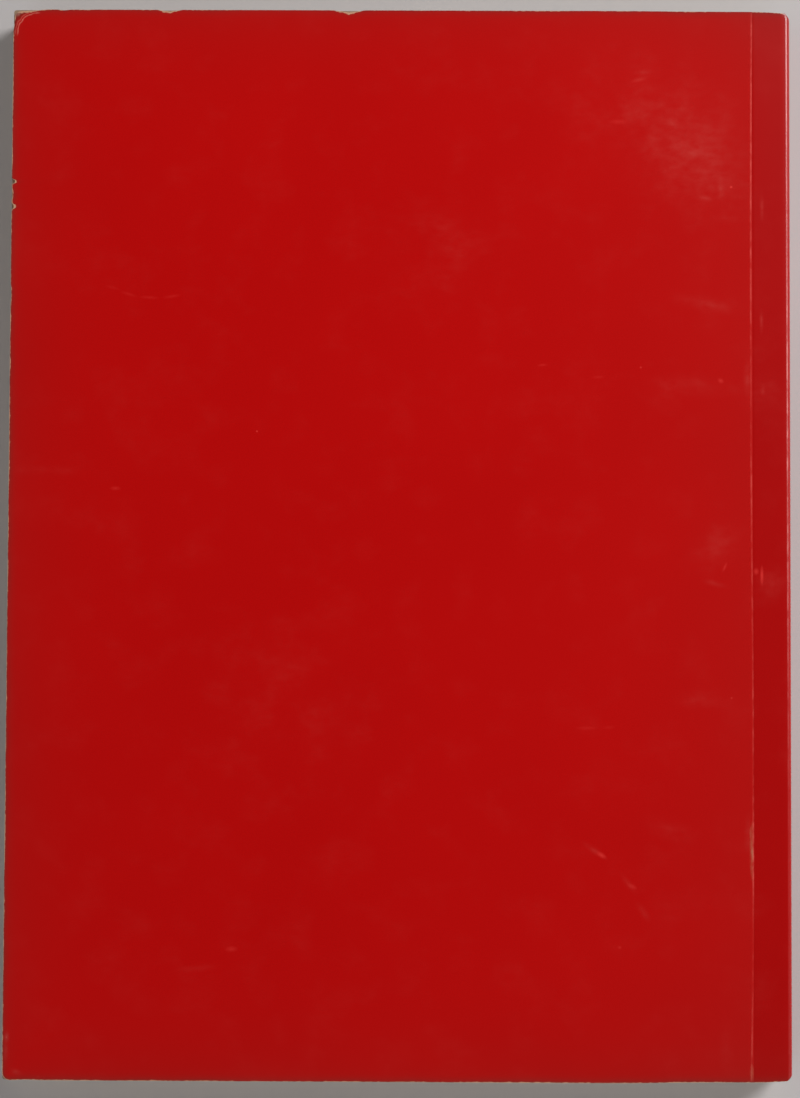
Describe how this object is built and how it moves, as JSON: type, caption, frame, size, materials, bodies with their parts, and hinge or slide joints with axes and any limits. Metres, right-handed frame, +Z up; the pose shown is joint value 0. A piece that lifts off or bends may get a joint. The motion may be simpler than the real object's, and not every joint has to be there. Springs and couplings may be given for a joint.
{
  "type": "paperback book",
  "caption": "Plain red perfect-bound paperback book lying closed, with a scored card cover whose two panels hinge open from a glued, nipped spine.",
  "frame": {"origin": "centre of the underside of the closed book, on the surface that it lies on", "axes": "+Z up from the front cover to the back cover, +Y towards the head of the pages, +X towards the spine"},
  "size_m": [0.19, 0.26, 0.012],
  "materials": {
    "red_card": "satin",
    "pages": "matte",
    "hot_melt": "satin"
  },
  "bodies": {
    "book_block": {"text_block": "pages", "binding_glue": "hot_melt", "cover_spine": "red_card"},
    "back_cover": {"back_cover": "red_card"},
    "front_cover": {"front_cover": "red_card"}
  },
  "joints": [
    {"name": "back_cover_hinge", "type": "hinge", "parent": "book_block", "child": "back_cover", "pos_m": [0.0856, 0, 0.012], "axis": [0, 1, 0], "range_deg": [0, 178]},
    {"name": "front_cover_hinge", "type": "hinge", "parent": "book_block", "child": "front_cover", "pos_m": [0.0856, 0, 0], "axis": [0, -1, 0], "range_deg": [0, 178]}
  ]
}
